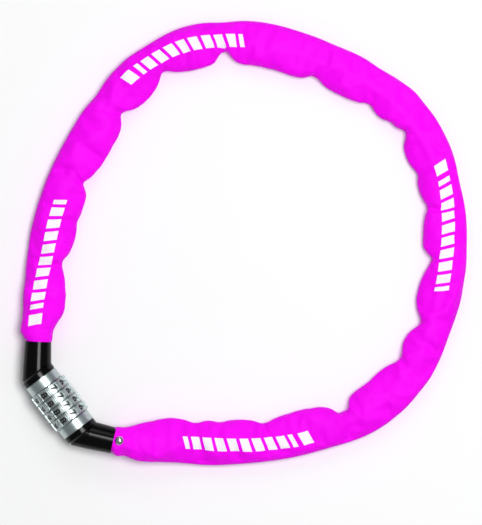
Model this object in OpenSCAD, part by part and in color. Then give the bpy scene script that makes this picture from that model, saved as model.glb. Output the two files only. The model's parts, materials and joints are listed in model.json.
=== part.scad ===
// Bicycle chain lock: a four-dial combination barrel closes a square-link chain in a fabric sleeve.
// Frame: +X runs along the barrel from the plug end to the anchored end, +Y points from the
// barrel into the chain's loop, +Z is up, and z = 0 is the surface that the lock lies on.

/* [Barrel] */
// Radius of the smooth end rings and of the elbows' collars
ring_r = 15.1; // [14.5:0.1:15.8]
// Length of each end ring
ring_len = 9.2; // [8:0.1:12]
// Radius of a dial between its ribs
dial_r = 16.7; // [16:0.1:17]
// Radius over the grip ribs, which carry the barrel on a flat surface
rib_r = 17.8; // [17.4:0.1:18.5]
// Distance from one dial to the next
dial_pitch = 8.8; // [8.4:0.1:10]
// Gap between neighbouring dials
dial_gap = 0.2; // [0.15:0.05:0.4]

/* [Plug] */
// Radius of the plug's pin
pin_r = 5.0; // [4.5:0.1:5.5]
// Radius that the pin's teeth reach
tooth_r = 10.6; // [10:0.1:10.8]
// Width of a tooth
tooth_w = 3.0; // [2.5:0.1:3.2]

/* [Elbows] */
// Angle between the barrel and an elbow's tube
elbow_bend = 39.5; // [36:0.5:42]
// Length of an elbow's tube from the bend to its mouth
elbow_len = 27; // [25:0.5:32]
// Radius of the tube at the bend
elbow_r = 12.1; // [11.8:0.1:12.6]
// Radius of the tube at its mouth
mouth_r = 11.3; // [11.2:0.1:11.8]

/* [Chain] */
// Thickness of the square bar that the links are bent from
bar = 4.0; // [3.8:0.1:4.1]
// Inner radius of a link's round ends
bow_r = 3.2; // [3.1:0.1:3.4]
// Distance between the bow centres of two links where they cross
cross_gap = 4.0; // [3.7:0.1:4.2]

/* [Loop] */
// Centreline radius of the chain every 20 degrees round the loop's centre
loop_radii = [182.5, 170.5, 169.5, 177, 175, 169.5, 170.5, 174,
    171.5, 165.5, 169.5, 172, 165.5, 158, 160.5, 170];
// Centre of the loop, from the middle of the barrel
loop_centre = [-13, 208];
// Width of the fabric sleeve as it lies
sleeve_w = 37; // [34:0.5:40]
// Height of the fabric sleeve as it lies
sleeve_h = 17; // [16.5:0.5:18]
// Thickness of the doubled fabric
sleeve_t = 1.0; // [0.8:0.1:1.2]

/* [Hidden] */
$fn = 64;
eps = 0.01;

// Barrel, along X with its middle at x = 0
dial_count = 4;
digit_count = 10;
axis_z = rib_r;
dial_w = dial_pitch - dial_gap;
stack_half = dial_count * dial_pitch / 2;
seam_x = stack_half + ring_len + dial_gap / 2;
plug_gap = 0.2;
edge = 0.5;
dial_xs = [for (i = [0:dial_count - 1]) (i - (dial_count - 1) / 2) * dial_pitch];

// Lock works
pin_clearance = 0.08;
ring_clearance = 0.06;
tube_r = 8.5;
code_r = 12.4;
web_len = 4.0;
tooth_len = 3.6;
tooth_side = 0.2;
tooth_top = 0.4;
well_r = tooth_r + tooth_top;
gate_w = tooth_w + 2 * tooth_side;
tooth_at = web_len / 2;
pin_lead = 4.4;
pin_tip_x = stack_half + pin_lead;
pin_tail = 3.0;
tube_tail = 2.0;
spring_w = 3.0;
spring_t = 0.5;
spring_margin = 1;
spring_len = 2 * (stack_half - spring_margin);
index_w = 1.0;
index_depth = 0.4;

// Grip ribs: each is a group of narrow bars
rib_bars = [-5.2, 0, 5.2];
rib_bar_w = 1.1;
rib_root = 2.0;

// Elbows
collar_len = 6.0;
collar_chamfer = 1.7;
bend_at = 4.9;
tube_root = 7.0;
bore_root = 5.5;
taper_at = 6.0;
insert_r = 11.0;
insert_len = 3.4;
insert_fit = 0.05;
elbow_bore = 9.2;
recess_r = 10.6;
recess_len = 8;
ear_clearance = 0.6;
ear_in = bar / 2 + ear_clearance;
ear_t = 2.8;
ear_h = 10.5;
ear_end = 10.2;
ear_gap = 0.3;
chain_pin_r = 2.4;
chain_pin_at = 6.5;
chain_pin_head = 0.8;
bow_play = 0.5;
far = 60;
over = 1;

// Sleeve sections
sides = 16;
mouth_half = 9.4;
squareness = 0.85;
ring_step = 12;
swell_start = -6;
swell_len = 60;
drop_start = 2;
drop_len = 78;
turn_len = 170;
sleeve_gap = 0.5;
sleeve_entry = elbow_len - recess_len + sleeve_gap;
hinge_turn = 6;
end_clearance = 0.1;
end_gap = sleeve_w / 2 * tan(hinge_turn / 2) + end_clearance;
rivet_past_mouth = 5.2;
rivet_shank = 1.5;
rivet_head = 3.8;
rivet_dome = 2.0;
rivet_stand = 0.3;
rivet_foot = 0.8;
foot_r = 2.8;

// The first link of each stretch of chain. The last entry is the number of links, which is
// odd, so that both end links stand on edge
first_link = [0, 3, 9, 15, 20, 26, 31, 36, 42, 48, 51];
stretch_count = len(first_link) - 1;
link_count = first_link[stretch_count];
edge_roll = 90;
corner_roll = 45;

// Route of the chain: out of the anchored elbow, round the loop and into the plug's elbow
function heading(angle) = [cos(angle), sin(angle)];
bend_x = seam_x + bend_at;
chain_start = chain_pin_at + bow_play;
function tube_point(side, along, lean, gap) = [
    side * (bend_x + gap + along * cos(elbow_bend) - lean * sin(elbow_bend)),
    along * sin(elbow_bend) + lean * cos(elbow_bend)
];
loop_start = -60;
loop_step = 20;
mouth_lean = 0.7;
route = concat(
    [tube_point(1, chain_start, 0, 0), tube_point(1, elbow_len, mouth_lean, 0)],
    [for (i = [0:len(loop_radii) - 1])
        loop_centre + loop_radii[i] * heading(loop_start + i * loop_step)],
    [tube_point(-1, elbow_len, mouth_lean, plug_gap), tube_point(-1, chain_start, 0, plug_gap)]
);
route_first = tube_point(1, chain_start - elbow_len, 0, 0);
route_last = tube_point(-1, chain_start - elbow_len, 0, plug_gap);

// Catmull-Rom curve through the route's points, sampled finely
function route_at(i) = i < 0 ? route_first : i >= len(route) ? route_last : route[i];
function spline(a, b, c, d, t) =
    0.5 * (2 * b + (c - a) * t + (2 * a - 5 * b + 4 * c - d) * t * t
        + (3 * b - 3 * c + d - a) * t * t * t);
samples = 16;
curve = concat(
    [for (i = [0:len(route) - 2], k = [0:samples - 1])
        spline(route_at(i - 1), route_at(i), route_at(i + 1), route_at(i + 2), k / samples)],
    [route[len(route) - 1]]
);
steps = [for (i = [1:len(curve) - 1]) norm(curve[i] - curve[i - 1])];
function running(list) = [
    for (i = 0, sum = 0; i <= len(list); sum = sum + (i < len(list) ? list[i] : 0), i = i + 1) sum
];
arc = running(steps);
route_len = arc[len(arc) - 1];
x_table = [for (i = [0:len(curve) - 1]) [arc[i], curve[i].x]];
y_table = [for (i = [0:len(curve) - 1]) [arc[i], curve[i].y]];
function flat_at(s) = [lookup(s, x_table), lookup(s, y_table)];
function ease(t) = let (u = min(1, max(0, t))) u * u * (3 - 2 * u);
mouth_s = elbow_len - chain_start;
function past_mouth(s) = min(s, route_len - s) - mouth_s;
function height_at(s) = axis_z + (sleeve_h / 2 - axis_z) * ease((past_mouth(s) - drop_start) / drop_len);
function point_at(s) = let (p = flat_at(s)) [p.x, p.y, height_at(s)];
function azimuth_at(s) = let (d = flat_at(s + 1) - flat_at(s - 1)) atan2(d.y, d.x);

// Links share the route's length; the stretches meet where two links cross
link_len = (route_len - (link_count - 1) * cross_gap) / link_count;
function link_start(k) = k * (link_len + cross_gap);
function crossing_s(k) = link_start(k) - cross_gap / 2;

// Shift that puts the origin under the middle of the whole lock
function outline(side) = [for (i = [0:4:len(curve) - 1])
    let (a = azimuth_at(arc[i])) flat_at(arc[i]) + side * half_w(arc[i]) * [sin(a), -cos(a)]];
outer = outline(1);
xs = [for (p = outer) p.x];
ys = [for (p = outer) p.y];
middle = [(min(xs) + max(xs)) / 2, (max(ys) - rib_r) / 2];

// Half width and half height of the sleeve along the route
function half_w(s) =
    mouth_half + (sleeve_w / 2 - mouth_half) * ease((past_mouth(s) - swell_start) / swell_len);
function half_h(s) = mouth_half + (sleeve_h / 2 - mouth_half) * ease(past_mouth(s) / drop_len);
function power(s) = 1 + (squareness - 1) * ease(past_mouth(s) / swell_len);
function bulge(v, e) = sign(v) * pow(abs(v), e);

function section(s, inset) =
    let (p = point_at(s), a = azimuth_at(s), e = power(s), top = pow(cos(180 / sides), e))
    [for (j = [0:sides - 1])
        let (q = (j + 0.5) * 360 / sides,
            u = (half_w(s) - inset) * bulge(cos(q), e),
            v = (half_h(s) - inset) * bulge(sin(q), e) / top)
        [p.x + u * sin(a), p.y - u * cos(a), p.z + v]];

// A hollow tube of fabric from one place on the route to another
module fabric_tube(from, to) {
    count = max(2, ceil((to - from) / ring_step)) + 1;
    stations = [for (i = [0:count - 1]) from + (to - from) * i / (count - 1)];
    points = concat(
        [for (s = stations) each section(s, 0)],
        [for (s = stations) each section(s, sleeve_t)]
    );
    shell = count * sides;
    function id(skin, ring, j) = skin * shell + ring * sides + j % sides;
    function quad(a, b, c, d) = [[a, b, c], [a, c, d]];
    skins = [for (i = [0:count - 2], j = [0:sides - 1]) each concat(
        quad(id(0, i, j), id(0, i, j + 1), id(0, i + 1, j + 1), id(0, i + 1, j)),
        quad(id(1, i, j), id(1, i + 1, j), id(1, i + 1, j + 1), id(1, i, j + 1))
    )];
    last = count - 1;
    ends = [for (j = [0:sides - 1]) each concat(
        quad(id(0, 0, j), id(1, 0, j), id(1, 0, j + 1), id(0, 0, j + 1)),
        quad(id(0, last, j), id(0, last, j + 1), id(1, last, j + 1), id(1, last, j))
    )];
    polyhedron(points, concat(skins, ends));
}

module placed() {
    translate([-middle.x, -middle.y, 0]) children();
}

// Puts children drawn round the X axis on the barrel's axis
module on_axis() {
    placed() translate([0, 0, axis_z]) children();
}

module rod_x(from, to, r) {
    translate([from, 0, 0]) rotate([0, 90, 0]) cylinder(h = to - from, r = r);
}

module cone_x(from, to, r1, r2) {
    translate([from, 0, 0]) rotate([0, 90, 0]) cylinder(h = to - from, r1 = r1, r2 = r2);
}

// Turned disc along X with chamfered edges
module turned(from, to, r) {
    rod_x(from + edge, to - edge, r);
    cone_x(from, from + edge, r - edge, r);
    cone_x(to - edge, to, r, r - edge);
}

// Radial slot on the barrel's outer side, where the teeth pass
module gate(from, to) {
    translate([from, -well_r, -gate_w / 2]) cube([to - from, well_r, gate_w]);
}

module core_tube() {
    color("dimgray") on_axis() difference() {
        rod_x(-seam_x + eps, seam_x + tube_tail, tube_r);
        rod_x(-seam_x - over, seam_x + tube_tail + over, pin_r + pin_clearance);
        gate(-seam_x - over, stack_half + edge);
        translate([-spring_len / 2, -spring_w / 2, tube_r - 2 * spring_t])
            cube([spring_len, spring_w, 3 * spring_t]);
    }
}

// Flat spring in a groove on top of the core tube; the code rings click over it
module click_spring() {
    color("silver") on_axis() intersection() {
        translate([-spring_len / 2, -spring_w / 2, tube_r - 2 * spring_t])
            cube([spring_len, spring_w, 2 * spring_t]);
        difference() {
            rod_x(-stack_half, stack_half, tube_r);
            rod_x(-seam_x, seam_x, tube_r - 2 * spring_t - spring_t);
        }
    }
}

module end_ring(from, to) {
    color("silver") on_axis() difference() {
        turned(from, to, ring_r);
        rod_x(from - over, to + over, tube_r);
        translate([from - over, -ring_r - over, -index_w / 2])
            cube([to - from + 2 * over, over + index_depth, index_w]);
        children();
    }
}

module plug_end_ring() {
    end_ring(-seam_x, -stack_half - dial_gap / 2) gate(-seam_x - over, -stack_half + over);
}

module body_end_ring() {
    end_ring(stack_half + dial_gap / 2, seam_x);
}

// Outline of a dial: a round drum with a group of grip bars between every two digits
module dial_outline() {
    circle(r = dial_r);
    for (i = [0:digit_count - 1], a = rib_bars)
        rotate(i * 360 / digit_count + a)
            translate([dial_r - rib_root, -rib_bar_w / 2]) square([rib_r - dial_r + rib_root, rib_bar_w]);
}

module dial(x) {
    color("silver") on_axis() translate([x, 0, 0]) difference() {
        union() {
            rotate([0, 90, 0]) linear_extrude(height = dial_w - 2 * edge, center = true) dial_outline();
            cone_x(-dial_w / 2, edge - dial_w / 2, dial_r - edge, dial_r);
            cone_x(dial_w / 2 - edge, dial_w / 2, dial_r, dial_r - edge);
        }
        rod_x(-dial_w, dial_w, code_r);
    }
}

// Code ring: a web with one gate, and a well where the tooth waits behind the web
module code_ring(x) {
    color("goldenrod") on_axis() translate([x, 0, 0]) difference() {
        rod_x(-dial_w / 2, dial_w / 2, code_r);
        rod_x(-dial_w, dial_w, tube_r + ring_clearance);
        rod_x(web_len - dial_w / 2, dial_w, well_r);
        gate(-dial_w, 0);
    }
}

// Pin with one tooth behind each code ring's web
module plug_pin() {
    color("lightgray") on_axis() {
        rod_x(-seam_x - plug_gap - pin_tail, pin_tip_x - edge, pin_r);
        cone_x(pin_tip_x - edge, pin_tip_x, pin_r, pin_r - edge);
        for (x = dial_xs)
            translate([x + tooth_at - tooth_len / 2, -tooth_r, -tooth_w / 2])
                cube([tooth_len, tooth_r, tooth_w]);
    }
}

module along_tube() {
    translate([bend_x, 0, 0]) rotate([0, 0, elbow_bend]) children();
}

// Everything past the seam's face
module past_seam() {
    intersection() {
        children();
        translate([seam_x + edge, -far, -far]) cube([2 * far, 2 * far, 2 * far]);
    }
}

// Elbow shell: a chamfered collar with a slightly tapered tube let into it at the bend
module elbow_shell() {
    collar_end = seam_x + collar_len;
    difference() {
        union() {
            rod_x(seam_x, collar_end - collar_chamfer, ring_r);
            cone_x(collar_end - collar_chamfer, collar_end, ring_r, ring_r - collar_chamfer);
            past_seam() along_tube() rod_x(-tube_root, taper_at, elbow_r);
            along_tube() cone_x(taper_at, elbow_len, elbow_r, mouth_r);
        }
        rod_x(seam_x - over, seam_x + insert_len, insert_r);
        along_tube() rod_x(-bore_root, elbow_len + over, elbow_bore);
        along_tube() rod_x(elbow_len - recess_len, elbow_len + over, recess_r);
    }
}

// Metal insert: a disc with two ears that hold the chain's pin
module insert() {
    difference() {
        union() {
            rod_x(seam_x, seam_x + insert_len - 2 * insert_fit, insert_r - insert_fit);
            past_seam() along_tube() intersection() {
                for (side = [-1, 1])
                    translate([-ear_end, side > 0 ? ear_in : -ear_in - ear_t, -ear_h / 2])
                        cube([2 * ear_end, ear_t, ear_h]);
                rod_x(ear_gap - bore_root, far, elbow_bore - ear_gap);
            }
        }
        along_tube() rotate([90, 0, 0])
            translate([chain_pin_at, 0, -far / 2]) cylinder(h = far, r = chain_pin_r);
        children();
    }
}

module chain_pin() {
    half = ear_in + ear_t + chain_pin_head;
    along_tube() rotate([90, 0, 0])
        translate([chain_pin_at, 0, -half]) cylinder(h = 2 * half, r = chain_pin_r);
}

// The plug's pieces are the anchored end's pieces, mirrored and set off by the seam's gap
module plug_side() {
    on_axis() translate([-plug_gap, 0, 0]) mirror([1, 0, 0]) children();
}

module body_elbow() {
    color("#141414") on_axis() elbow_shell();
}

module body_anchor() {
    color("gray") on_axis() insert() rod_x(seam_x - over, seam_x + tube_tail, tube_r);
}

module body_chain_pin() {
    color("silver") on_axis() chain_pin();
}

module plug_elbow() {
    color("#141414") plug_side() elbow_shell();
}

module plug_holder() {
    color("gray") plug_side() insert() rod_x(seam_x - over, seam_x + pin_tail, pin_r);
}

module plug_chain_pin() {
    color("silver") plug_side() chain_pin();
}

// Domed rivet through the sleeve and through the second link's opening
module rivet_place() {
    placed() translate(point_at(mouth_s + rivet_past_mouth)) children();
}

module sleeve_rivet() {
    reach = half_h(mouth_s + rivet_past_mouth) + rivet_stand;
    ball = (rivet_head * rivet_head + rivet_dome * rivet_dome) / (2 * rivet_dome);
    color("gainsboro") rivet_place() {
        cylinder(h = 2 * reach, r = rivet_shank, center = true);
        intersection() {
            translate([0, 0, reach + rivet_dome - ball]) sphere(r = ball);
            translate([0, 0, reach]) cylinder(h = rivet_dome + over, r = rivet_head);
        }
        translate([0, 0, -reach - rivet_foot]) cylinder(h = rivet_foot, r = foot_r);
    }
}

// One link along X, lying in the XY plane, with its bow centres link_len apart
module racetrack(r) {
    square([link_len, 2 * r], center = true);
    for (side = [-1, 1]) translate([side * link_len / 2, 0]) circle(r = r);
}

module link() {
    linear_extrude(height = bar, center = true) difference() {
        racetrack(bow_r + bar);
        racetrack(bow_r);
    }
}

// Links cross at right angles, and the whole chain rolls 45 degrees once it is clear of the elbows
module chain_stretch(n) {
    color("slategray") placed() for (k = [first_link[n - 1]:first_link[n] - 1]) {
        a = point_at(link_start(k));
        b = point_at(link_start(k) + link_len);
        way = (b - a) / norm(b - a);
        roll = edge_roll * ((k + 1) % 2)
            + corner_roll * ease(past_mouth(link_start(k) + link_len / 2) / turn_len);
        translate((a + b) / 2) rotate([0, -asin(way.z), atan2(way.y, way.x)]) rotate([roll, 0, 0]) link();
    }
}

// Fabric over one stretch; its ends stay clear of the next stretch when the chain bends there
module sleeve_stretch(n) {
    from = n == 1 ? sleeve_entry - chain_start : crossing_s(first_link[n - 1]) + end_gap;
    to = n == stretch_count
        ? route_len - sleeve_entry + chain_start
        : crossing_s(first_link[n]) - end_gap;
    color("magenta") placed() fabric_tube(from, to);
}

module sleeve_1() {
    difference() {
        sleeve_stretch(1);
        rivet_place() cylinder(h = far, r = rivet_shank, center = true);
    }
}

core_tube();
click_spring();
plug_end_ring();
body_end_ring();
body_elbow();
body_anchor();
body_chain_pin();
sleeve_rivet();
dial(dial_xs[0]);  // dial_1
dial(dial_xs[1]);  // dial_2
dial(dial_xs[2]);  // dial_3
dial(dial_xs[3]);  // dial_4
code_ring(dial_xs[0]);  // code_ring_1
code_ring(dial_xs[1]);  // code_ring_2
code_ring(dial_xs[2]);  // code_ring_3
code_ring(dial_xs[3]);  // code_ring_4
plug_pin();
plug_holder();
plug_elbow();
plug_chain_pin();
chain_stretch(1);  // chain_1
chain_stretch(2);  // chain_2
chain_stretch(3);  // chain_3
chain_stretch(4);  // chain_4
chain_stretch(5);  // chain_5
chain_stretch(6);  // chain_6
chain_stretch(7);  // chain_7
chain_stretch(8);  // chain_8
chain_stretch(9);  // chain_9
chain_stretch(10);  // chain_10
sleeve_1();
sleeve_stretch(2);  // sleeve_2
sleeve_stretch(3);  // sleeve_3
sleeve_stretch(4);  // sleeve_4
sleeve_stretch(5);  // sleeve_5
sleeve_stretch(6);  // sleeve_6
sleeve_stretch(7);  // sleeve_7
sleeve_stretch(8);  // sleeve_8
sleeve_stretch(9);  // sleeve_9
sleeve_stretch(10);  // sleeve_10
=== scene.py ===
import json
import math

import bmesh
import bpy
import numpy as np
from mathutils import Matrix, Vector


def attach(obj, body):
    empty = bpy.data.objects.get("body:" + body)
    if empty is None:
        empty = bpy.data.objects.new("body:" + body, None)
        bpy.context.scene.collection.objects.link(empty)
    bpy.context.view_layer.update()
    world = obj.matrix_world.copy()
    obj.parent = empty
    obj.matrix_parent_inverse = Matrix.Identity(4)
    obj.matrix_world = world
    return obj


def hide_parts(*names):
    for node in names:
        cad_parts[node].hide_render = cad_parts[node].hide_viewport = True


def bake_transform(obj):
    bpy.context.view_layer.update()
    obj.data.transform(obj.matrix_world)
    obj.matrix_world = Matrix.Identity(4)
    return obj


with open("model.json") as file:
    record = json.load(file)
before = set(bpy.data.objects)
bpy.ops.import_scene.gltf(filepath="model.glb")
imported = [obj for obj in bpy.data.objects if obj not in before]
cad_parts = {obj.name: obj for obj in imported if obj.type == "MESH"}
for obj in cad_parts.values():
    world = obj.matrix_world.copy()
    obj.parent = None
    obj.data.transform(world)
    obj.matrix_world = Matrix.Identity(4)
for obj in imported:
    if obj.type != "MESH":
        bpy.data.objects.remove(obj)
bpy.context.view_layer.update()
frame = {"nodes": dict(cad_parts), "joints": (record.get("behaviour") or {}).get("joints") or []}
scene = bpy.context.scene
scene.view_settings.view_transform = "Standard"
MM = 0.001
JOINT = {j["name"]: j for j in frame["joints"]}
DIALS = [1, 2, 3, 4]
BARREL = sum((Vector(JOINT[f"dial_{k}_turn"]["pos_m"]) for k in DIALS), Vector()) / len(DIALS)

# ---------------------------------------------------------------- camera and light
VIEW_TALL = 0.446
VIEW_TURN = math.radians(52.64)
LENS, SENSOR = 200.0, 36.0
AIM = (0.0061, 0.0034, 0.0085)
cam_data = bpy.data.cameras.new("camera")
cam_data.lens = LENS
cam_data.sensor_width = SENSOR
camera = bpy.data.objects.new("camera", cam_data)
scene.collection.objects.link(camera)
camera.location = (AIM[0], AIM[1], AIM[2] + VIEW_TALL * LENS / SENSOR)
camera.rotation_euler = (0.0, 0.0, VIEW_TURN)
scene.camera = camera


def node_tree(owner):
    owner.use_nodes = True
    tree = owner.node_tree
    tree.nodes.clear()
    return tree


def add_light(name, right, up, high, size, power):
    """A soft box aimed at the lock, to the right of the picture's middle and up from it."""
    data = bpy.data.lights.new(name, "AREA")
    data.shape = "RECTANGLE"
    data.size, data.size_y = size
    data.energy = power
    lamp = bpy.data.objects.new(name, data)
    scene.collection.objects.link(lamp)
    lamp.location = Matrix.Rotation(VIEW_TURN, 3, "Z") @ Vector((right, up, high))
    lamp.rotation_euler = (-lamp.location).to_track_quat("-Z", "Y").to_euler()


add_light("top_box", 0.42, 0.10, 2.1, (1.0, 0.80), 36.0)
add_light("side_box", 0.0, 1.64, 1.5, (0.9, 0.9), 5.0)

def build_world():
    """A pale surrounding, slightly brighter overhead than at the horizon."""
    world = bpy.data.worlds.new("studio")
    scene.world = world
    tree = node_tree(world)
    sky = tree.nodes.new("ShaderNodeBackground")
    out = tree.nodes.new("ShaderNodeOutputWorld")
    ramp = tree.nodes.new("ShaderNodeMapRange")
    axes = tree.nodes.new("ShaderNodeSeparateXYZ")
    where = tree.nodes.new("ShaderNodeTexCoord")
    ramp.inputs["From Min"].default_value = 0.0
    ramp.inputs["From Max"].default_value = 1.0
    ramp.inputs["To Min"].default_value = 0.26
    ramp.inputs["To Max"].default_value = 0.28
    tree.links.new(where.outputs["Generated"], axes.inputs[0])
    tree.links.new(axes.outputs["Z"], ramp.inputs["Value"])
    tree.links.new(ramp.outputs["Result"], sky.inputs["Strength"])
    tree.links.new(sky.outputs[0], out.inputs["Surface"])
    sky.inputs["Color"].default_value = (0.97, 0.99, 1.0, 1.0)


build_world()


# ---------------------------------------------------------------- materials
class Shader:
    """A Principled material and short ways to add the nodes that feed it."""

    def __init__(self, name, colour, roughness, metallic=0.0, **sockets):
        self.mat = bpy.data.materials.new(name)
        self.tree = node_tree(self.mat)
        self.out = self.tree.nodes.new("ShaderNodeOutputMaterial")
        self.bsdf = self.tree.nodes.new("ShaderNodeBsdfPrincipled")
        self.tree.links.new(self.bsdf.outputs[0], self.out.inputs["Surface"])
        self.bsdf.inputs["Base Color"].default_value = (*colour, 1.0)
        self.bsdf.inputs["Roughness"].default_value = roughness
        self.bsdf.inputs["Metallic"].default_value = metallic
        for key, value in sockets.items():
            self.bsdf.inputs[key.replace("_", " ")].default_value = value

    def node(self, kind, **settings):
        made = self.tree.nodes.new("ShaderNode" + kind)
        for key, value in settings.items():
            setattr(made, key, value)
        return made

    def link(self, a, b):
        self.tree.links.new(a, b)

    def coords(self, scale):
        mapped = self.node("Mapping")
        mapped.inputs["Scale"].default_value = scale
        self.link(self.node("TexCoord").outputs["Object"], mapped.inputs["Vector"])
        return mapped.outputs[0]

    def noise(self, vector, scale=1.0, detail=3.0, rough=0.5):
        made = self.node("TexNoise")
        made.inputs["Scale"].default_value = scale
        made.inputs["Detail"].default_value = detail
        made.inputs["Roughness"].default_value = rough
        self.link(vector, made.inputs["Vector"])
        return made.outputs[0]

    def math(self, operation, a, b=None):
        made = self.node("Math", operation=operation)
        for socket, value in zip(made.inputs, (a, b)):
            if value is None:
                continue
            if isinstance(value, (int, float)):
                socket.default_value = value
            else:
                self.link(value, socket)
        return made.outputs[0]

    def ranged(self, value, low, high, from_low=0.0, from_high=1.0):
        made = self.node("MapRange")
        made.inputs["From Min"].default_value = from_low
        made.inputs["From Max"].default_value = from_high
        made.inputs["To Min"].default_value = low
        made.inputs["To Max"].default_value = high
        self.link(value, made.inputs["Value"])
        return made.outputs["Result"]

    def mixed(self, factor, a, b):
        made = self.node("Mix", data_type="RGBA")
        self.link(factor, made.inputs["Factor"])
        colour_a, colour_b = [s for s in made.inputs if s.type == "RGBA"]
        for socket, value in ((colour_a, a), (colour_b, b)):
            if isinstance(value, tuple):
                socket.default_value = (*value, 1.0)
            else:
                self.link(value, socket)
        return [s for s in made.outputs if s.type == "RGBA"][0]

    def colour(self, value):
        self.link(value, self.bsdf.inputs["Base Color"])

    def rough(self, value):
        self.link(value, self.bsdf.inputs["Roughness"])

    def bump(self, *heights):
        """Adds bumps one on another, each (height, distance in metres)."""
        before = None
        for height, distance in heights:
            made = self.node("Bump")
            made.inputs["Strength"].default_value = 1.0
            made.inputs["Distance"].default_value = distance
            self.link(height, made.inputs["Height"])
            if before is not None:
                self.link(before, made.inputs["Normal"])
            before = made.outputs[0]
        self.link(before, self.bsdf.inputs["Normal"])


def turned_metal(name, colour, roughness, scratch=0.000015):
    """Satin plate with the fine turning lines that run round the barrel."""
    m = Shader(name, colour, roughness, metallic=1.0)
    lines = m.noise(m.coords((2600, 26, 26)), detail=4.0)
    cloud = m.noise(m.coords((90, 90, 90)), detail=3.0)
    worn = m.noise(m.coords((420, 420, 420)), detail=2.0)
    m.rough(m.math("ADD", m.ranged(lines, roughness - 0.06, roughness + 0.06),
                   m.ranged(cloud, -0.05, 0.05)))
    dark = tuple(c * 0.86 for c in colour)
    m.colour(m.mixed(m.ranged(m.math("MULTIPLY", cloud, worn), 0.0, 1.0, 0.1, 0.45), dark, colour))
    m.bump((lines, scratch))
    return m.mat


def moulded_plastic():
    m = Shader("gloss_black", (0.0006, 0.0006, 0.0007), 0.2, IOR=1.25)
    grain = m.noise(m.coords((900, 900, 900)), detail=3.0)
    cloud = m.noise(m.coords((60, 60, 60)), detail=2.0)
    m.rough(m.ranged(cloud, 0.12, 0.19))
    m.colour(m.mixed(cloud, (0.0004, 0.0004, 0.0005), (0.0008, 0.0009, 0.0009)))
    m.bump((grain, 0.000008), (cloud, 0.00004))
    return m.mat


def polished_metal():
    m = Shader("polished_rivet", (0.62, 0.65, 0.64), 0.12, metallic=1.0)
    cloud = m.noise(m.coords((500, 500, 500)), detail=3.0)
    m.rough(m.ranged(cloud, 0.07, 0.2))
    m.colour(m.mixed(cloud, (0.5, 0.54, 0.53), (0.7, 0.72, 0.72)))
    m.bump((cloud, 0.00002))
    return m.mat


def plated_steel():
    m = Shader("zinc_plate", (0.45, 0.46, 0.48), 0.34, metallic=1.0)
    spangle = m.noise(m.coords((240, 240, 240)), detail=4.0)
    m.rough(m.ranged(spangle, 0.26, 0.44))
    m.colour(m.mixed(spangle, (0.34, 0.35, 0.37), (0.5, 0.51, 0.53)))
    m.bump((spangle, 0.00003))
    return m.mat


def machined(name, colour):
    m = Shader(name, colour, 0.3, metallic=1.0)
    lines = m.noise(m.coords((1500, 60, 60)), detail=3.0)
    m.rough(m.ranged(lines, 0.22, 0.4))
    m.colour(m.mixed(lines, tuple(c * 0.8 for c in colour), colour))
    m.bump((lines, 0.00002))
    return m.mat


def digit_paint():
    m = Shader("digit_paint", (0.006, 0.006, 0.007), 0.42)
    grain = m.noise(m.coords((1400, 1400, 1400)), detail=2.0)
    m.rough(m.ranged(grain, 0.34, 0.5))
    m.colour(m.mixed(grain, (0.004, 0.004, 0.005), (0.012, 0.012, 0.013)))
    m.bump((grain, 0.00001))
    return m.mat


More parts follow.
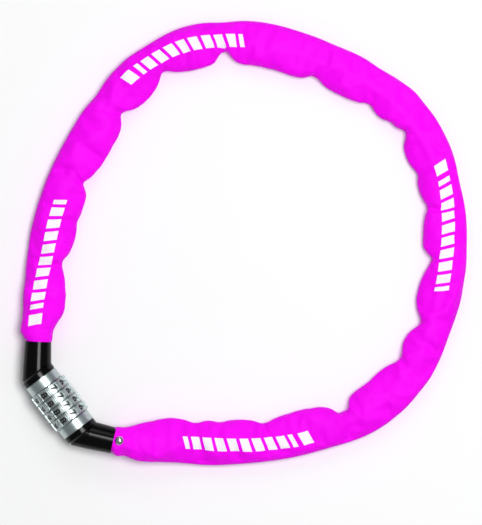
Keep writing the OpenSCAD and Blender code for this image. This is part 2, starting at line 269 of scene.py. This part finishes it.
def woven_nylon():
    """Magenta ripstop: a fine plain weave, coarser ribs every few threads, and a white print."""
    m = Shader("magenta_nylon", (0.93, 0.004, 0.9), 0.5)
    m.bsdf.inputs["Specular IOR Level"].default_value = 0.05
    m.bsdf.inputs["Sheen Weight"].default_value = 0.03
    m.bsdf.inputs["Sheen Roughness"].default_value = 0.35
    m.bsdf.inputs["Sheen Tint"].default_value = (1.0, 0.05, 0.95, 1.0)
    cloth = m.node("UVMap", uv_map="cloth")
    axes = m.node("SeparateXYZ")
    m.link(cloth.outputs["UV"], axes.inputs[0])
    along, round_it = axes.outputs["X"], axes.outputs["Y"]

    def threads(value, pitch):
        return m.math("SINE", m.math("MULTIPLY", value, 2 * math.pi / pitch))

    warp = threads(along, 0.0011)
    weft = threads(round_it, 0.0011)
    weave = m.math("MULTIPLY", m.math("ADD", m.math("ABSOLUTE", warp), m.math("ABSOLUTE", weft)), 0.5)
    over = m.math("MULTIPLY", warp, weft)
    rib_a = m.math("GREATER_THAN", threads(along, 0.0066), 0.86)
    rib_b = m.math("GREATER_THAN", threads(round_it, 0.0066), 0.86)
    ribs = m.math("MAXIMUM", rib_a, rib_b)
    blotch = m.noise(m.coords((34, 34, 34)), detail=3.0)
    fuzz = m.noise(m.coords((2200, 2200, 2200)), detail=2.0)
    base = m.mixed(m.ranged(blotch, 0.0, 1.0, 0.3, 0.7), (0.91, 0.002, 0.90), (0.985, 0.003, 0.955))
    base = m.mixed(m.ranged(m.math("ADD", weave, m.math("MULTIPLY", fuzz, 0.4)), 0.12, 0.0, 0.2, 1.2),
                   base, (0.70, 0.002, 0.68))
    # The print: a row of plain slanted bars with a square after them
    mark = m.node("UVMap", uv_map="mark")
    place = m.node("SeparateXYZ")
    m.link(mark.outputs["UV"], place.inputs[0])
    run, side = place.outputs["X"], place.outputs["Y"]
    slanted = m.math("ADD", run, m.math("MULTIPLY", side, -0.28))
    bar = m.math("LESS_THAN", m.math("PINGPONG", m.math("ADD", slanted, 0.2), 0.0052), 0.0037)
    height = m.math("LESS_THAN", m.math("ABSOLUTE", side), 0.0053)
    in_row = m.math("LESS_THAN", m.math("ABSOLUTE", m.math("ADD", slanted, 0.0075)), 0.0470)
    after = m.math("LESS_THAN", m.math("ABSOLUTE", m.math("ADD", slanted, -0.0485)), 0.0046)
    row = m.math("MAXIMUM", m.math("MULTIPLY", bar, in_row), after)
    ink = m.math("MULTIPLY", m.math("MULTIPLY", row, height),
                 m.ranged(m.noise(m.coords((1500, 1500, 1500)), detail=2.0), 0.8, 1.0, 0.25, 0.5))
    m.colour(m.mixed(ink, base, (0.95, 0.93, 0.96)))
    m.rough(m.math("ADD", m.ranged(fuzz, 0.42, 0.56), m.math("MULTIPLY", ink, -0.08)))
    m.bump((m.math("ADD", weave, m.math("MULTIPLY", over, 0.4)), 0.00007), (ribs, 0.00005),
           (blotch, 0.0005), (ink, 0.00004))
    return m.mat


DIAL_METAL = turned_metal("satin_dial", (0.45, 0.505, 0.505), 0.36)
RING_METAL = turned_metal("satin_ring", (0.52, 0.60, 0.60), 0.34)
FINISH = {
    "dial": DIAL_METAL, "plug_end_ring": RING_METAL, "body_end_ring": RING_METAL,
    "body_elbow": moulded_plastic(), "sleeve_rivet": polished_metal(),
    "chain_": plated_steel(), "code_ring": machined("brass", (0.72, 0.55, 0.26)),
    "core_tube": machined("dark_steel", (0.30, 0.31, 0.33)),
    "plug_pin": machined("pin_steel", (0.62, 0.63, 0.65)),
}
FINISH["plug_elbow"] = FINISH["body_elbow"]
for key in ("body_anchor", "plug_holder", "body_chain_pin", "plug_chain_pin", "click_spring"):
    FINISH[key] = FINISH["core_tube"]
for name, node in frame["nodes"].items():
    found = [k for k in FINISH if name.startswith(k)]
    if found:
        node.data.materials.clear()
        node.data.materials.append(FINISH[max(found, key=len)])

# ---------------------------------------------------------------- the chain's route, in millimetres
SEAM_X, BEND_AT, ELBOW_BEND, ELBOW_LEN, PLUG_GAP = 26.9, 4.9, math.radians(39.5), 27.0, 0.2
CHAIN_START, MOUTH_LEAN = 7.0, 0.7
LOOP_RADII = [182.5, 170.5, 169.5, 177, 175, 169.5, 170.5, 174,
              171.5, 165.5, 169.5, 172, 165.5, 158, 160.5, 170]
LOOP_CENTRE = np.array([-13.0, 208.0])
AXIS_Z, LYING_Z = 17.8, 8.5
LINKS, CROSS_GAP = 51, 4.0
FIRST_LINK = [0, 3, 9, 15, 20, 26, 31, 36, 42, 48, 51]


def tube_point(side, along, lean, gap):
    return np.array([side * (SEAM_X + BEND_AT + gap + along * math.cos(ELBOW_BEND)
                             - lean * math.sin(ELBOW_BEND)),
                     along * math.sin(ELBOW_BEND) + lean * math.cos(ELBOW_BEND)])


def make_route():
    points = [tube_point(1, CHAIN_START - ELBOW_LEN, 0, 0), tube_point(1, CHAIN_START, 0, 0),
              tube_point(1, ELBOW_LEN, MOUTH_LEAN, 0)]
    for i, radius in enumerate(LOOP_RADII):
        a = math.radians(20 * i - 60)
        points.append(LOOP_CENTRE + radius * np.array([math.cos(a), math.sin(a)]))
    points += [tube_point(-1, ELBOW_LEN, MOUTH_LEAN, PLUG_GAP), tube_point(-1, CHAIN_START, 0, PLUG_GAP),
               tube_point(-1, CHAIN_START - ELBOW_LEN, 0, PLUG_GAP)]
    curve = []
    for a, b, c, d in zip(points, points[1:], points[2:], points[3:]):
        for k in range(16):
            t = k / 16
            curve.append(0.5 * (2 * b + (c - a) * t + (2 * a - 5 * b + 4 * c - d) * t * t
                                + (3 * b - 3 * c + d - a) * t * t * t))
    curve.append(points[-2])
    curve = np.array(curve)
    arc = np.concatenate([[0], np.cumsum(np.linalg.norm(np.diff(curve, axis=0), axis=1))])
    return curve, arc


CURVE, ARC = make_route()
ROUTE_LEN = ARC[-1]
MOUTH = ELBOW_LEN - CHAIN_START
LINK_LEN = (ROUTE_LEN - (LINKS - 1) * CROSS_GAP) / LINKS


def crossing(stretch):
    """Where the chain bends between a stretch and the next."""
    return FIRST_LINK[stretch] * (LINK_LEN + CROSS_GAP) - CROSS_GAP / 2


def flat_at(s):
    return np.stack([np.interp(s, ARC, CURVE[:, 0]), np.interp(s, ARC, CURVE[:, 1])], -1)


def outward_at(s, reach=3.0):
    d = flat_at(s + reach) - flat_at(s - reach)
    d /= np.linalg.norm(d, axis=-1, keepdims=True)
    return np.stack([d[..., 1], -d[..., 0]], -1)


def ease(t):
    t = np.clip(t, 0, 1)
    return t * t * (3 - 2 * t)


def past_mouth(s):
    return np.minimum(s, ROUTE_LEN - s) - MOUTH


def height_at(s):
    return AXIS_Z + (LYING_Z - AXIS_Z) * ease((past_mouth(s) - 2) / 78)


# ---------------------------------------------------------------- the fabric sleeve
# Each fold tucks the sleeve in on the inner side of the loop, where there is fabric to spare:
# place along the chain, depth, reach before and after, and how far its crease leans, in mm
FOLDS = [
    (88, 3.2, 9, 9, 6), (109, 1.6, 6, 6, -5), (149, 5.2, 11, 13, 8), (220, 14.0, 11, 8, 10),
    (293, 7.6, 15, 15, -10), (331, 10.0, 12, 13, 8), (388, 9.0, 17, 6, 12), (434, 5.4, 11, 13, -8),
    (467, 3.4, 8, 9, 7), (508, 10.2, 9, 9, -9), (523, 5.0, 11, 9, 6), (549, 5.6, 14, 11, 10),
    (606, 6.4, 12, 8, -6), (690, 12.2, 9, 8, 9), (750, 10.4, 12, 13, -8), (804, 8.6, 9, 9, 8),
    (875, 7.4, 13, 5, -9), (910, 1.4, 9, 7, 5), (948, 7.6, 11, 14, 7),
]
# Gentle swells of the outer edge
SWELLS = [
    (100, 0.9, 16), (205, -0.5, 18), (268, 0.6, 12), (292, 0.8, 12), (326, -0.9, 14), (360, 1.2, 16),
    (384, 0.9, 12), (452, -1.4, 16), (505, 0.9, 14), (527, 1.5, 10), (558, -1.8, 12), (615, 0.4, 12),
    (690, -1.5, 12), (745, -0.6, 14), (769, 0.6, 8), (803, -2.3, 12), (925, 0.7, 14), (966, -1.2, 10),
]
PRINTS = [134, 417, 727, 949]
EDGE_OUT, EDGE_IN = 18.1, 19.3
CHAIN_CLEAR, GROUND = 8.0, 0.12
AROUND = 60
RING_STEP = 1.8
NET_STEP, NET_AROUND = 3.6, 32
SETTLE_FRAMES, SETTLE_CAP = 24, 3.2
GIRTH, CUT_SPARE = 0.096, 1.06
# Share of the simulated sideways movement that is dropped, to keep the sleeve's outline
SIDEWAYS_LOST_IN, SIDEWAYS_LOST_OUT = 0.75, 0.35


def bump(x, sharp=2.0):
    return np.exp(-np.abs(x) ** sharp)


def lattice(seed, shape):
    return np.random.RandomState(seed).uniform(-1, 1, shape)


def ripple(s, turn, along, cells, seed):
    """Smooth noise over the sleeve: a new value every `along` mm and `cells` values round it."""
    rows = int(ROUTE_LEN / along) + 4
    values = lattice(seed, (rows, cells))
    x, y = s / along, (turn % 1.0) * cells
    i, j = np.floor(x).astype(int), np.floor(y).astype(int)
    fx, fy = ease(x - i), ease(y - j)

    def at(a, b):
        return values[np.clip(a, 0, rows - 1), b % cells]

    return ((at(i, j) * (1 - fx) + at(i + 1, j) * fx) * (1 - fy)
            + (at(i, j + 1) * (1 - fx) + at(i + 1, j + 1) * fx) * fy)


def edges_at(s):
    """Half widths of the sleeve on its outer and inner side."""
    p = past_mouth(s)
    plug_side = s > ROUTE_LEN / 2
    inner = np.full_like(s, EDGE_IN)
    for place, depth, before, after, lean in FOLDS:
        x = (s - place) / np.where(s < place, before, after)
        inner = inner - depth * bump(x, 1.5)
    outer = np.full_like(s, EDGE_OUT)
    for place, rise, reach in SWELLS:
        outer = outer + rise * bump((s - place) / reach)
    grow_in = np.where(plug_side, ease((p - 6) / 26), ease((p - 3) / 50))
    grow_out = np.where(plug_side, 0.55 * ease((p - 1) / 7) + 0.45 * ease((p - 22) / 26),
                        0.5 * ease((p - 7) / 15) + 0.5 * ease((p + 1) / 34))
    inner = 11.2 + (inner - 11.2) * grow_in
    outer = 12.6 + (outer - 12.6) * grow_out
    puff = np.where(plug_side, 0.6 * bump((p - 9) / 6), 0.9 * bump((p - 4) / 4) - 0.6 * bump((p - 9) / 3))
    outer = outer + puff
    collar = ease((p + 0.2) / 2.6)
    return 10.3 + (outer - 10.3) * collar, 10.3 + (inner - 10.3) * collar


def sleeve_points(s, turn):
    """Points of the sleeve's outside; turn is 0 on the outer edge, 0.25 on top, 0.5 on the inner edge."""
    p = past_mouth(s)
    outer, inner = edges_at(s)
    soft = ease(p / 40)
    q = 2 * math.pi * turn
    c, n = np.cos(q), np.sin(q)
    squareness = 1 - 0.10 * soft
    across = np.sign(c) * np.abs(c) ** squareness
    rise = np.sign(n) * np.abs(n) ** (squareness + 0.06 * soft)
    lateral = across * np.where(c > 0, outer, inner)
    plump = 8.9 + 0.05 * (inner - 15) + 0.35 * ripple(s, np.zeros_like(turn), 31, 1, 3)
    tall = np.where(n > 0, 10.3 + (plump - 10.3) * soft, 10.3 + (LYING_Z + 0.3 - 10.3) * ease(p / 78))
    up = rise * tall
    # creases that run from each fold across the sleeve, deep at the inner edge
    inward = (1 - across) / 2
    for k, (place, depth, before, after, lean) in enumerate(FOLDS):
        for side, sway in ((1, 1.0), (-1, -0.7)):
            on = ease(0.5 + side * n * 4) * ease(np.abs(n) * 3)
            away = s - place - lean * sway * (1 - inward) ** 1.3
            width = 1.7 + 4.5 * (1 - inward)
            fade = np.clip((inward - 0.18) / 0.82, 0, 1) ** 1.3
            deep = (0.25 * depth + 0.5) * fade * on
            valley = bump(away / width)
            banks = bump((away - 2.3 * width) / (1.4 * width)) + bump((away + 2.3 * width) / (1.4 * width))
            up = up - side * deep * (valley - 0.42 * banks) * soft
    # small gathers, strongest on the inner side, and a broad unevenness
    gather = ripple(s, turn, 7.5, 5, 11) + 0.5 * ripple(s + 3 * np.sin(q), turn, 4.2, 7, 12)
    broad = ripple(s, turn, 24, 6, 13)
    push = (0.10 + 0.62 * inward ** 1.6) * gather + 0.45 * broad * np.abs(n)
    near = 0.45 + 0.55 * soft
    up = up + push * n * near
    lateral = lateral + 0.35 * push * across * soft
    # the rivet holds the fabric down beside the anchored elbow
    from_rivet = np.hypot(s - MOUTH - 5.2, lateral)
    up = up - np.where(n > 0, 1.3 * bump(from_rivet / 6.5), 0)
    return in_place(s, lateral, up), lateral


def in_place(s, lateral, up, along=0.0):
    """Points of the sleeve from their place in its cross-section, clear of the chain and the ground."""
    reach = np.hypot(lateral, up)
    apart = 0.5 * (reach + CHAIN_CLEAR + np.sqrt((reach - CHAIN_CLEAR) ** 2 + 0.3)) / np.maximum(reach, 1e-6)
    lateral, up = lateral * apart, up * apart
    z = height_at(s) + up
    z = GROUND + 0.5 * ((z - GROUND) + np.sqrt((z - GROUND) ** 2 + 0.25))
    out = outward_at(s)
    ahead = np.stack([-out[..., 1], out[..., 0]], -1)
    flat = flat_at(s) + out * lateral[..., None] + ahead * np.asarray(along)[..., None]
    return np.concatenate([flat, z[..., None]], -1)


def settle(s, turn, points):
    """Cloth simulation of the whole sleeve: the fabric has spare length, so it buckles into wrinkles.
    The outer edge is taut, and the mouths and the underside are held. Returns each point's movement
    in mm, no longer than SETTLE_CAP."""
    rings, around = s.shape
    mesh = bpy.data.meshes.new("sleeve_cloth")
    faces = [(i * around + j, (i + 1) * around + j, (i + 1) * around + (j + 1) % around,
              i * around + (j + 1) % around) for i in range(rings - 1) for j in range(around)]
    mesh.from_pydata((points * MM).reshape(-1, 3).tolist(), [], faces)
    obj = bpy.data.objects.new("sleeve_cloth", mesh)
    scene.collection.objects.link(obj)
    held = obj.vertex_groups.new(name="held")
    taut = ease((np.cos(2 * math.pi * turn) - 0.80) / 0.18)
    ends = 1 - ease((past_mouth(s) - 1) / 9)
    under = ease((-np.sin(2 * math.pi * turn) - 0.55) / 0.3)
    weight = np.clip(np.maximum.reduce([taut, ends, under]), 0, 1).ravel()
    for index in np.nonzero(weight > 0.02)[0]:
        held.add([int(index)], float(weight[index]), "REPLACE")
    cloth = obj.modifiers.new("cloth", "CLOTH")
    fabric = cloth.settings
    fabric.quality = 6
    fabric.mass = 0.15
    fabric.air_damping = 1.5
    fabric.tension_stiffness = fabric.compression_stiffness = 22
    fabric.shear_stiffness = 9
    fabric.bending_stiffness = 0.02
    fabric.shrink_min = fabric.shrink_max = -0.07
    fabric.vertex_group_mass = "held"
    fabric.use_pressure = True
    fabric.uniform_pressure_force = 0.6
    fabric.effector_weights.gravity = 0.0
    cloth.collision_settings.use_collision = False
    cloth.collision_settings.use_self_collision = False
    cloth.point_cache.frame_start, cloth.point_cache.frame_end = 1, SETTLE_FRAMES
    for number in range(1, SETTLE_FRAMES + 1):
        scene.frame_set(number)
    done = obj.evaluated_get(bpy.context.evaluated_depsgraph_get()).to_mesh()
    moved = np.array([v.co for v in done.vertices]).reshape(points.shape) / MM - points
    scene.frame_set(1)
    bpy.data.objects.remove(obj)
    size = np.linalg.norm(moved, axis=-1, keepdims=True)
    return moved * np.minimum(1, SETTLE_CAP / np.maximum(size, 1e-9))


def settled_sleeve(s, turn):
    """The sleeve's points with the simulated wrinkles, which are found on a coarser net."""
    points, lateral = sleeve_points(s, turn)
    rings = int((s[-1, 0] - s[0, 0]) / NET_STEP) + 1
    net_s = np.linspace(s[0, 0], s[-1, 0], rings)[:, None] * np.ones((1, NET_AROUND))
    net_turn = np.ones((rings, 1)) * np.arange(NET_AROUND)[None, :] / NET_AROUND
    moved = settle(net_s, net_turn, sleeve_points(net_s, net_turn)[0])
    x = (s - net_s[0, 0]) / (net_s[1, 0] - net_s[0, 0])
    y = turn * NET_AROUND
    i, j = np.floor(x).astype(int), np.floor(y).astype(int)
    total = np.zeros_like(points)
    for a in range(-1, 3):
        for b in range(-1, 3):
            share = cubic(x - i - a) * cubic(y - j - b)
            total += share[..., None] * moved[np.clip(i + a, 0, rings - 1), (j + b) % NET_AROUND]
    out = outward_at(s)
    sideways = (total[..., :2] * out).sum(-1, keepdims=True) * out
    damped = np.where(np.cos(2 * math.pi * turn) < 0, SIDEWAYS_LOST_IN, SIDEWAYS_LOST_OUT)
    total[..., :2] -= damped[..., None] * sideways
    off = points + total - np.concatenate([flat_at(s), height_at(s)[..., None]], -1)
    side = off[..., 0] * out[..., 0] + off[..., 1] * out[..., 1]
    along = off[..., 1] * out[..., 0] - off[..., 0] * out[..., 1]
    return in_place(s, side, off[..., 2], along), lateral


def cubic(t):
    """The B-spline weight of a net point t cells away."""
    t = np.abs(t)
    return np.where(t < 1, 2 / 3 - t * t + t ** 3 / 2, np.where(t < 2, (2 - t) ** 3 / 6, 0))


def sleeve_cuts():
    """Cuts in the middle of each stretch, so that every piece of sleeve crosses one bend."""
    middle = [(crossing(n) + crossing(n + 1)) / 2 for n in range(1, 9)]
    start = CHAIN_START + 5.7
    return [start, middle[0], middle[1], middle[2], crossing(5),
            middle[5], middle[6], middle[7], ROUTE_LEN - start]


def build_sleeve(material):
    """The whole sleeve on one net, cut into pieces that share their normals where they meet."""
    cuts = sleeve_cuts()
    stations, first = [], [0]
    for a, b in zip(cuts, cuts[1:]):
        count = int(math.ceil((b - a) / RING_STEP))
        stations += [a + (b - a) * i / count for i in range(count)]
        first.append(len(stations))
    stations.append(cuts[-1])
    s = np.array(stations)[:, None] * np.ones((1, AROUND))
    turn = np.ones((len(stations), 1)) * (np.arange(AROUND) + 0.5)[None, :] / AROUND
    where, lateral = settled_sleeve(s, turn)
    world = where * MM + np.array([BARREL.x, BARREL.y, 0.0])
    ahead = np.gradient(world, axis=0)
    round_it = np.roll(world, -1, axis=1) - np.roll(world, 1, axis=1)
    normal = np.cross(ahead, round_it)
    normal /= np.linalg.norm(normal, axis=-1, keepdims=True) + 1e-12
    pieces = []
    for k in range(len(cuts) - 1):
        lo, hi = first[k], first[k + 1]
        rings = hi - lo + 1
        mesh = bpy.data.meshes.new(f"sleeve_part_{k + 1}")
        verts = world[lo:hi + 1].reshape(-1, 3)
        faces, corners = [], []
        for i in range(rings - 1):
            for j in range(AROUND):
                nxt = (j + 1) % AROUND
                faces.append((i * AROUND + j, (i + 1) * AROUND + j,
                              (i + 1) * AROUND + nxt, i * AROUND + nxt))
                corners.append(((i, j), (i + 1, j), (i + 1, j + 1), (i, j + 1)))
        mesh.from_pydata(verts.tolist(), [], faces)
        cloth = mesh.uv_layers.new(name="cloth")
        mark = mesh.uv_layers.new(name="mark")
        for face, cell in zip(mesh.polygons, corners):
            nearest = min(PRINTS, key=lambda x: abs(x - stations[lo + cell[0][0]]))
            on_top = cell[0][1] < AROUND / 2 - 1
            for loop, (i, j) in zip(face.loop_indices, cell):
                at = stations[lo + i]
                cloth.data[loop].uv = (at * MM, GIRTH * j / AROUND)
                drift = 0.5 + 3.5 * ease((at - nearest + 40) / 90)
                side = lateral[lo + i, j % AROUND] - drift
                mark.data[loop].uv = ((at - nearest) * MM, side * MM if on_top else 0.02)
        mesh.polygons.foreach_set("use_smooth", [True] * len(mesh.polygons))
        mesh.update()
        mesh.normals_split_custom_set_from_vertices(normal[lo:hi + 1].reshape(-1, 3).tolist())
        mesh.materials.append(material)
        piece = bpy.data.objects.new(f"sleeve_part_{k + 1}", mesh)
        scene.collection.objects.link(piece)
        pieces.append(piece)
    return pieces, cuts


PARTS = [
    # (joint, body before, body after, stretches that it stands for)
    ("chain_bend_2", 1, "lock_body", "span_2", (1, 2)),
    ("chain_bend_3", 2, "span_2", "span_3", (3,)),
    ("chain_bend_4", 3, "span_3", "span_4", (4,)),
    ("chain_bend_5", 4, "span_4", "span_5", (5,)),
    ("chain_bend_6", 6, "span_6", "span_7", (6,)),
    ("chain_bend_7", 7, "span_7", "span_8", (7,)),
    ("chain_bend_8", 8, "span_8", "span_9", (8,)),
    ("chain_bend_9", 9, "span_9", "plug", (9, 10)),
]
sleeve, cuts = build_sleeve(woven_nylon())
for number, (joint, stretch, before, after, stands_for) in enumerate(PARTS):
    piece = sleeve[number]
    here = np.array([crossing(stretch)])
    tangent = outward_at(here)[0][::-1] * np.array([-1, 1])
    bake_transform(piece)
    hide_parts(*[f"sleeve_{n}" for n in stands_for])


# ---------------------------------------------------------------- dials, with rounded grip bars
DIAL_R, RIB_R, DIAL_HALF, DIAL_EDGE, DIAL_BORE = 16.7, 17.8, 4.3, 0.5, 12.4
BAR_PLACES, BAR_HALF, BAR_ROUND, BAR_CLEAR = (-5.2, 0.0, 5.2), 0.55, 0.32, 2.6
DIGITS, DIGIT_STEP = 10, 36


def dial_outline():
    """Angle and radius of points round a dial: land, and groups of three bars with rounded tops."""
    points = []
    for group in range(DIGITS):
        for place in BAR_PLACES:
            middle = math.radians(DIGIT_STEP * group + place)
            corner = [(BAR_HALF - BAR_ROUND * (1 - math.cos(a)), RIB_R - BAR_ROUND * (1 - math.sin(a)))
                      for a in np.radians([0, 22.5, 45, 67.5, 90])]
            left = [(-BAR_HALF, DIAL_R)] + [(-u, v) for u, v in corner]
            right = corner[::-1] + [(BAR_HALF, DIAL_R)]
            points += [(middle + math.atan2(u, v), math.hypot(u, v)) for u, v in left + right]
        start = DIGIT_STEP * group + BAR_PLACES[-1] + BAR_CLEAR
        end = DIGIT_STEP * (group + 1) + BAR_PLACES[0] - BAR_CLEAR
        points += [(math.radians(a), DIAL_R) for a in np.linspace(start, end, 12)]
    return points


def build_dials():
    """Each dial as a closed ring, from its outline repeated at steps across its width."""
    outline = dial_outline()
    full, land = DIAL_HALF - DIAL_EDGE - 0.25, DIAL_HALF - DIAL_EDGE
    half = [(full, RIB_R + 1), (land - 0.07, RIB_R - 0.1), (land, RIB_R - 0.3), (land, DIAL_R),
            (DIAL_HALF, DIAL_R - DIAL_EDGE), (DIAL_HALF, DIAL_BORE)]
    rings = [(-x, cap) for x, cap in half[::-1]] + half
    for k in DIALS:
        centre = Vector(JOINT[f"dial_{k}_turn"]["pos_m"])
        bm = bmesh.new()
        loops = []
        for x, cap in rings:
            places = [(x, min(r, cap) * math.sin(a), min(r, cap) * math.cos(a)) for a, r in outline]
            loops.append([bm.verts.new(centre + Vector(place) * MM) for place in places])
        for i, loop in enumerate(loops):
            after = loops[(i + 1) % len(loops)]
            for j, vert in enumerate(loop):
                nxt = (j + 1) % len(loop)
                bm.faces.new([vert, loop[nxt], after[nxt], after[j]])
        bmesh.ops.dissolve_degenerate(bm, dist=1e-7, edges=bm.edges[:])
        bmesh.ops.recalc_face_normals(bm, faces=bm.faces)
        mesh = bpy.data.meshes.new(f"dial_ring_{k}")
        bm.to_mesh(mesh)
        bm.free()
        mesh.polygons.foreach_set("use_smooth", [True] * len(mesh.polygons))
        mesh.set_sharp_from_angle(angle=math.radians(40))
        mesh.materials.append(DIAL_METAL)
        piece = bpy.data.objects.new(f"dial_ring_{k}", mesh)
        scene.collection.objects.link(piece)
        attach(piece, f"dial_{k}")
        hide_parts(f"dial_{k}")


build_dials()

# ---------------------------------------------------------------- digits on the dials
DIGIT_TALL, DIGIT_WIDE = 6.0, 4.6


def digit_mesh(text):
    """The digit's outline as flat faces, centred, in millimetres, cut so that it can bend."""
    curve = bpy.data.curves.new("digit", "FONT")
    curve.body = text
    curve.size = 8.0
    curve.offset = 0.30
    curve.resolution_u = 6
    obj = bpy.data.objects.new("digit", curve)
    scene.collection.objects.link(obj)
    bpy.context.view_layer.update()
    mesh = bpy.data.meshes.new_from_object(obj.evaluated_get(bpy.context.evaluated_depsgraph_get()))
    bpy.data.objects.remove(obj)
    bm = bmesh.new()
    bm.from_mesh(mesh)
    bpy.data.meshes.remove(mesh)
    bmesh.ops.remove_doubles(bm, verts=bm.verts, dist=1e-4)
    xs, ys = [v.co.x for v in bm.verts], [v.co.y for v in bm.verts]
    wide = DIGIT_WIDE * (0.72 if text == "1" else 1.0)
    for v in bm.verts:
        v.co.x = (v.co.x - (min(xs) + max(xs)) / 2) * wide / (max(xs) - min(xs))
        v.co.y = (v.co.y - (min(ys) + max(ys)) / 2) * DIGIT_TALL / (max(ys) - min(ys))
        v.co.z = 0
    for y in np.arange(-3.0, 3.1, 0.6):
        geom = bm.verts[:] + bm.edges[:] + bm.faces[:]
        bmesh.ops.bisect_plane(bm, geom=geom, plane_co=(0, y, 0), plane_no=(0, 1, 0))
    for f in bm.faces:
        f.normal_update()
        if f.normal.z < 0:
            f.normal_flip()
    return bm


def build_digits(material):
    """All ten digits of each dial, bent round it, as thin solids of paint."""
    made = {str(d): digit_mesh(str(d)) for d in range(DIGITS)}
    for k in DIALS:
        centre = Vector(JOINT[f"dial_{k}_turn"]["pos_m"])
        bm = bmesh.new()
        for d in range(DIGITS):
            middle = math.radians(90 + DIGIT_STEP * (5 - d))
            copies = {}
            source = made[str(d)]
            for layer, radius in ((0, DIAL_R - 0.05), (1, DIAL_R + 0.06)):
                for v in source.verts:
                    angle = middle + v.co.y / DIAL_R
                    place = Vector((v.co.x, radius * math.sin(angle), radius * math.cos(angle)))
                    copies[layer, v.index] = bm.verts.new(centre + place * MM)
            for f in source.faces:
                bm.faces.new([copies[1, v.index] for v in f.verts])
                bm.faces.new([copies[0, v.index] for v in reversed(f.verts)])
            for e in source.edges:
                if len(e.link_faces) == 1:
                    loop = e.link_faces[0].loops
                    a, b = [(l.vert, l.link_loop_next.vert) for l in loop if l.edge == e][0]
                    bm.faces.new([copies[1, b.index], copies[1, a.index],
                                  copies[0, a.index], copies[0, b.index]])
        bmesh.ops.recalc_face_normals(bm, faces=bm.faces)
        mesh = bpy.data.meshes.new(f"digits_{k}")
        bm.to_mesh(mesh)
        bm.free()
        mesh.materials.append(material)
        piece = bpy.data.objects.new(f"digits_{k}", mesh)
        scene.collection.objects.link(piece)
        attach(piece, f"dial_{k}")
    for bm in made.values():
        bm.free()


build_digits(digit_paint())

# ---------------------------------------------------------------- floor
bpy.ops.mesh.primitive_plane_add(size=8.0, location=(0, 0, -0.0002))
floor = bpy.context.object
floor.name = "floor"
m = Shader("pale_floor", (0.93, 0.93, 0.93), 0.9)
m.bsdf.inputs["Specular IOR Level"].default_value = 0.0
floor.data.materials.append(m.mat)
